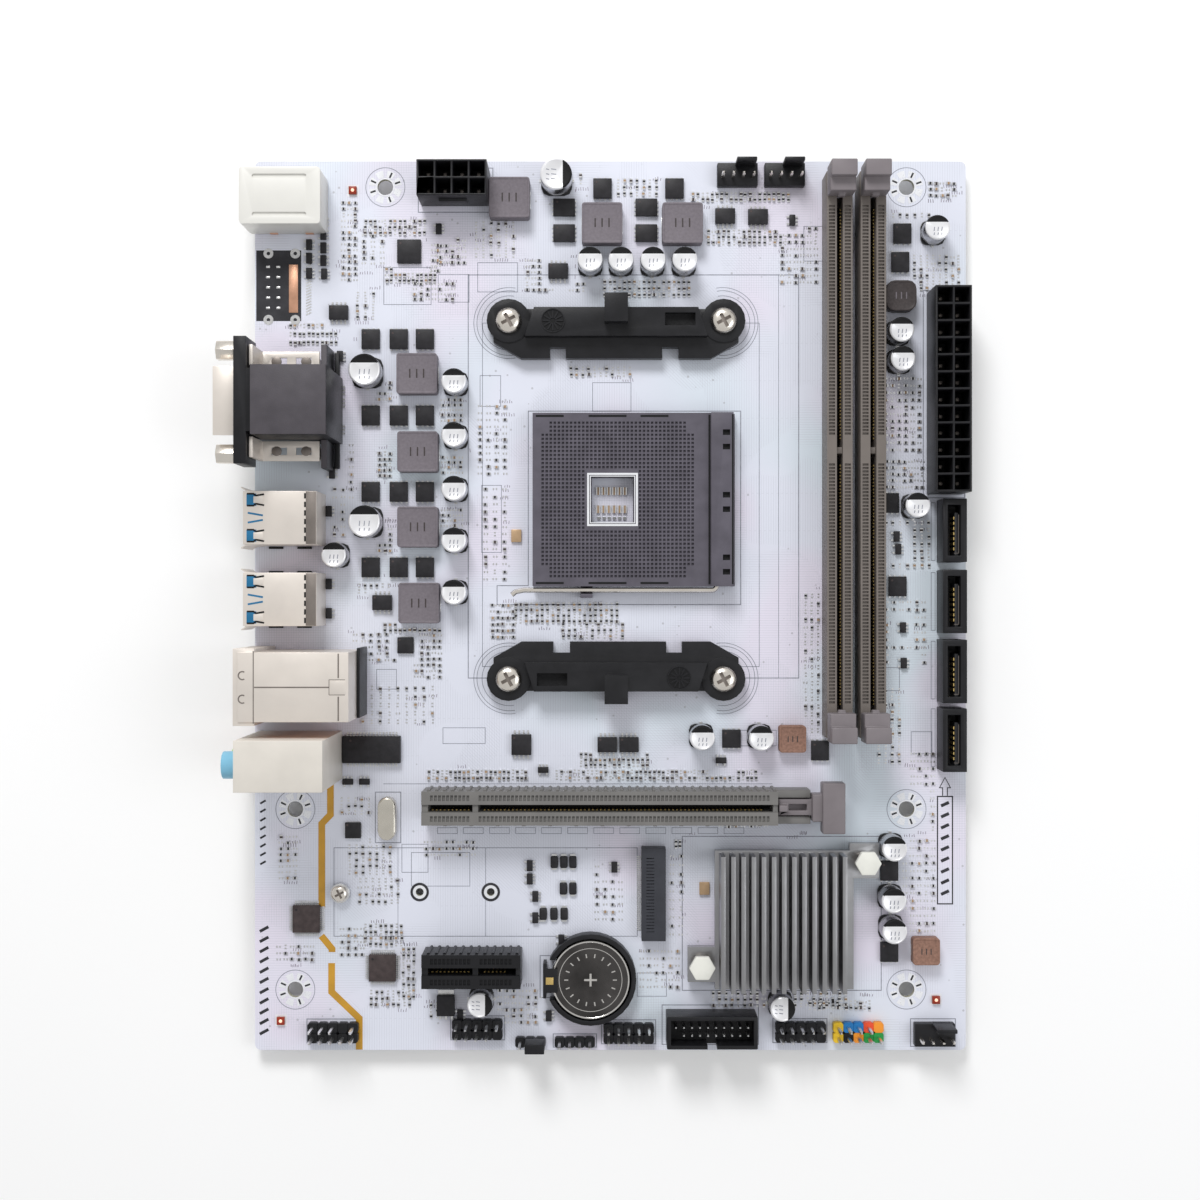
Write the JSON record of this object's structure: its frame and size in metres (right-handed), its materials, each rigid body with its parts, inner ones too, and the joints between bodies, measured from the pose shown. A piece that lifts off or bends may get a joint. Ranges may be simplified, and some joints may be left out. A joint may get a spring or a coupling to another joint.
{
  "type": "computer motherboard",
  "caption": "White compact desktop motherboard with processor socket and lever, clip-on cooler brackets, latched memory slots, card slots, rear ports and finned chipset cooler.",
  "frame": {"origin": "centre of the bounding box in plan, at the underside of the socket backplate, the lowest face", "axes": "+X from the rear ports towards the power and disk sockets, +Y from the header edge towards the processor power socket, +Z out of the component face"},
  "size_m": [0.1854, 0.225, 0.0373],
  "materials": {
    "white_mask": "white solder mask over fibreglass laminate, satin gloss",
    "plate_steel": "zinc plated sheet steel",
    "socket_plastic": "dark violet-grey glass-filled nylon, matte",
    "lever_steel": "bright drawn wire",
    "bracket_plastic": "black moulded nylon, fine matte texture",
    "screw_steel": "bright nickel plated steel",
    "slot_plastic": "warm grey moulded plastic, satin",
    "black_plastic": "black moulded plastic, satin",
    "shield": "tinned thin sheet steel, bright",
    "port_white": "ivory white moulded plastic",
    "brass": "nickel flashed brass",
    "pin_white": "natural white nylon",
    "fin_aluminium": "clear anodised extrusion",
    "chip_black": "black moulding compound",
    "cell_steel": "dark nickel plated steel can",
    "crystal_steel": "drawn nickel-silver can"
  },
  "bodies": {
    "board": {"circuit_board": "white_mask", "socket_backplate": "plate_steel", "socket_base": "socket_plastic", "cooler_bracket_upper": "bracket_plastic", "cooler_bracket_lower": "bracket_plastic", "memory_slot_inner": "slot_plastic", "memory_slot_outer": "slot_plastic", "graphics_slot": "slot_plastic", "expansion_slot": "black_plastic", "drive_card_slot": "black_plastic", "drive_card_standoff": "brass", "drive_card_screw": "screw_steel", "main_power_socket": "black_plastic", "processor_power_socket": "black_plastic", "keyboard_port": "port_white", "display_port": "black_plastic", "display_shell": "shield", "usb_port_upper": "shield", "usb_port_lower": "shield", "network_port": "shield", "audio_port": "shield", "chipset": "chip_black", "chipset_heatsink": "fin_aluminium", "heatsink_push_pin_left": "pin_white", "heatsink_push_pin_right": "pin_white", "battery_holder": "black_plastic", "battery": "cell_steel", "timing_crystal": "crystal_steel", "clear_header": "black_plastic", "speaker_header": "black_plastic", "serial_header": "black_plastic", "front_sound_header": "black_plastic", "usb_header_left": "black_plastic", "usb_header_right": "black_plastic", "front_panel_header": "black_plastic", "fast_usb_header": "black_plastic", "processor_fan_header": "black_plastic", "case_fan_header_top": "black_plastic", "case_fan_header_bottom": "black_plastic", "bracket_screw_1": "screw_steel", "disk_port_1": "black_plastic", "bracket_screw_2": "screw_steel", "disk_port_2": "black_plastic", "bracket_screw_3": "screw_steel", "disk_port_3": "black_plastic", "bracket_screw_4": "screw_steel", "disk_port_4": "black_plastic", "display_bracket_upper": "shield", "display_jack_screw_upper": "screw_steel", "display_bracket_lower": "shield", "display_jack_screw_lower": "screw_steel"},
    "battery_clip": {"battery_clip": "black_plastic"},
    "graphics_slot_latch": {"graphics_slot_latch": "slot_plastic"},
    "jumper_cap": {"jumper_cap": "black_plastic"},
    "memory_latch_inner_bottom": {"memory_latch_inner_bottom": "slot_plastic"},
    "memory_latch_inner_top": {"memory_latch_inner_top": "slot_plastic"},
    "memory_latch_outer_bottom": {"memory_latch_outer_bottom": "slot_plastic"},
    "memory_latch_outer_top": {"memory_latch_outer_top": "slot_plastic"},
    "socket_cover": {"socket_cover": "socket_plastic"},
    "socket_lever": {"socket_lever": "lever_steel"}
  },
  "joints": [
    {"name": "socket_lever_hinge", "type": "hinge", "parent": "board", "child": "socket_lever", "pos_m": [0.0294, 0.00395, 0.00825], "axis": [0, 1, 0], "range_deg": [0, 95]},
    {"name": "socket_cover_slide", "type": "slide", "parent": "board", "child": "socket_cover", "axis": [-1, 0, 0], "range_m": [0, 0.001]},
    {"name": "memory_latch_inner_top_hinge", "type": "hinge", "parent": "board", "child": "memory_latch_inner_top", "pos_m": [0.0594, 0.1048, 0.0075], "axis": [-1, 0, 0], "range_deg": [0, 32]},
    {"name": "memory_latch_inner_bottom_hinge", "type": "hinge", "parent": "board", "child": "memory_latch_inner_bottom", "pos_m": [0.0594, -0.0298, 0.0075], "axis": [1, 0, 0], "range_deg": [0, 32]},
    {"name": "memory_latch_outer_top_hinge", "type": "hinge", "parent": "board", "child": "memory_latch_outer_top", "pos_m": [0.0677, 0.1048, 0.0075], "axis": [-1, 0, 0], "range_deg": [0, 32]},
    {"name": "memory_latch_outer_bottom_hinge", "type": "hinge", "parent": "board", "child": "memory_latch_outer_bottom", "pos_m": [0.0677, -0.0298, 0.0075], "axis": [1, 0, 0], "range_deg": [0, 32]},
    {"name": "graphics_latch_hinge", "type": "hinge", "parent": "board", "child": "graphics_slot_latch", "pos_m": [0.0491, -0.0501, 0.0069], "axis": [0, 1, 0], "range_deg": [0, 16], "stiffness_Nm_per_rad": 0.05},
    {"name": "battery_clip_hinge", "type": "hinge", "parent": "board", "child": "battery_clip", "pos_m": [-0.0138, -0.0939, 0.0049], "axis": [0, -1, 0], "range_deg": [0, 9], "stiffness_Nm_per_rad": 0.02},
    {"name": "jumper_cap_slide", "type": "slide", "parent": "board", "child": "jumper_cap", "axis": [0, 0, 1], "range_m": [0, 0.006]}
  ],
  "couplings": [
    {"joint": "socket_cover_slide", "follows": "socket_lever_hinge", "m_per_rad": 0.00060251}
  ]
}
